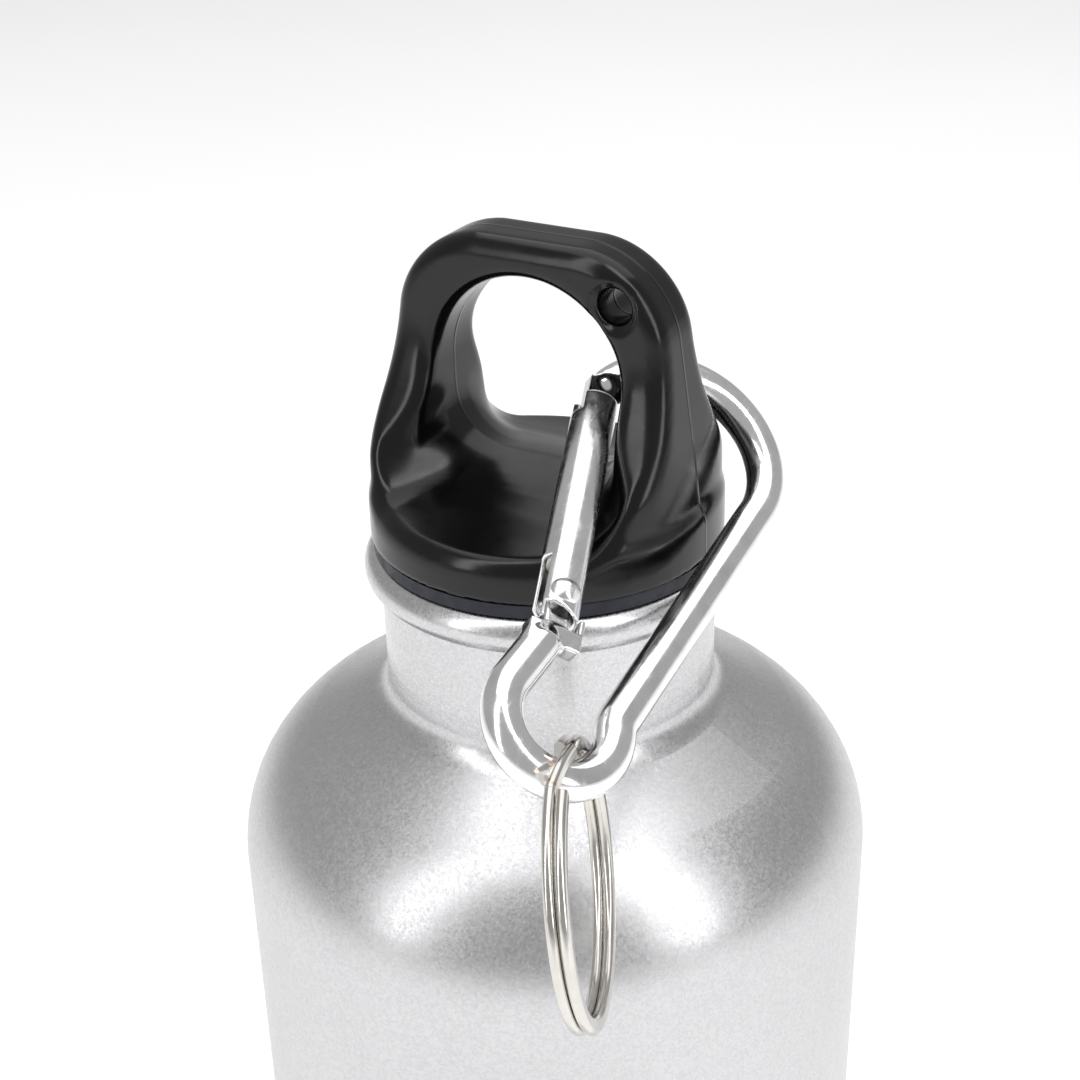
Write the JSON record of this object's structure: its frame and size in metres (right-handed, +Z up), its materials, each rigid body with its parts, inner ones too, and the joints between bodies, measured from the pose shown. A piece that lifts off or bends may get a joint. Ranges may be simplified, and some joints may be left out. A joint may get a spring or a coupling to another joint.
{
  "type": "canteen",
  "caption": "Aluminium screw-cap bottle with a black loop cap, and a small carabiner with a split key ring clipped through the loop.",
  "frame": {"origin": "centre of the bottle's foot, on the surface it stands on", "axes": "+Z up the bottle's axis; the cap's loop lies in the XZ plane, with the carabiner on its +X leg at the -Y front"},
  "size_m": [0.066, 0.0796, 0.2137],
  "materials": {
    "satin_aluminium": "satin, fine sparkle",
    "navy_silicone": "matte",
    "black_plastic": "semi-matte",
    "plug_plastic": "matte",
    "polished_aluminium": "polished",
    "gate_aluminium": "polished",
    "rivet_aluminium": "polished",
    "spring_steel": "bright",
    "plunger_plastic": "matte",
    "nickel_plate": "nickel plated"
  },
  "bodies": {
    "bottle": {"bottle_shell": "satin_aluminium"},
    "seal": {"cap_seal": "navy_silicone"},
    "cap": {"cap": "black_plastic", "cap_plug": "plug_plastic"},
    "carabiner": {"carabiner_frame": "polished_aluminium"},
    "gate": {"gate_tube": "gate_aluminium", "gate_rivet": "rivet_aluminium", "gate_spring": "spring_steel", "gate_plunger": "plunger_plastic"},
    "key_ring": {"split_key_ring": "nickel_plate"}
  },
  "joints": [
    {"name": "cap_lift", "type": "slide", "parent": "bottle", "child": "seal", "axis": [0, 0, 1], "range_m": [0, 0.01335]},
    {"name": "cap_turn", "type": "hinge", "parent": "seal", "child": "cap", "pos_m": [0, 0, 0.1838], "axis": [0, 0, 1], "range_deg": [0, 1200]},
    {"name": "carabiner_swing", "type": "hinge", "parent": "cap", "child": "carabiner", "pos_m": [0.00619, -0.00368, 0.19307], "axis": [-0.3271, -0.9392, -0.105], "range_deg": [0, 78]},
    {"name": "gate_open", "type": "hinge", "parent": "carabiner", "child": "gate", "pos_m": [0.01271, -0.02055, 0.18827], "axis": [-0.6421, 0.1927, -0.742], "range_deg": [0, 14.76]},
    {"name": "key_ring_swing", "type": "hinge", "parent": "carabiner", "child": "key_ring", "pos_m": [0.02238, -0.03152, 0.17691], "axis": [0.8393, 0.5362, 0.09], "range_deg": [-60, 60]}
  ],
  "couplings": [
    {"joint": "cap_lift", "follows": "cap_turn", "m_per_rad": 0.00063662},
    {"joint": "gate_open", "follows": "carabiner_swing", "ratio": 0.188}
  ]
}
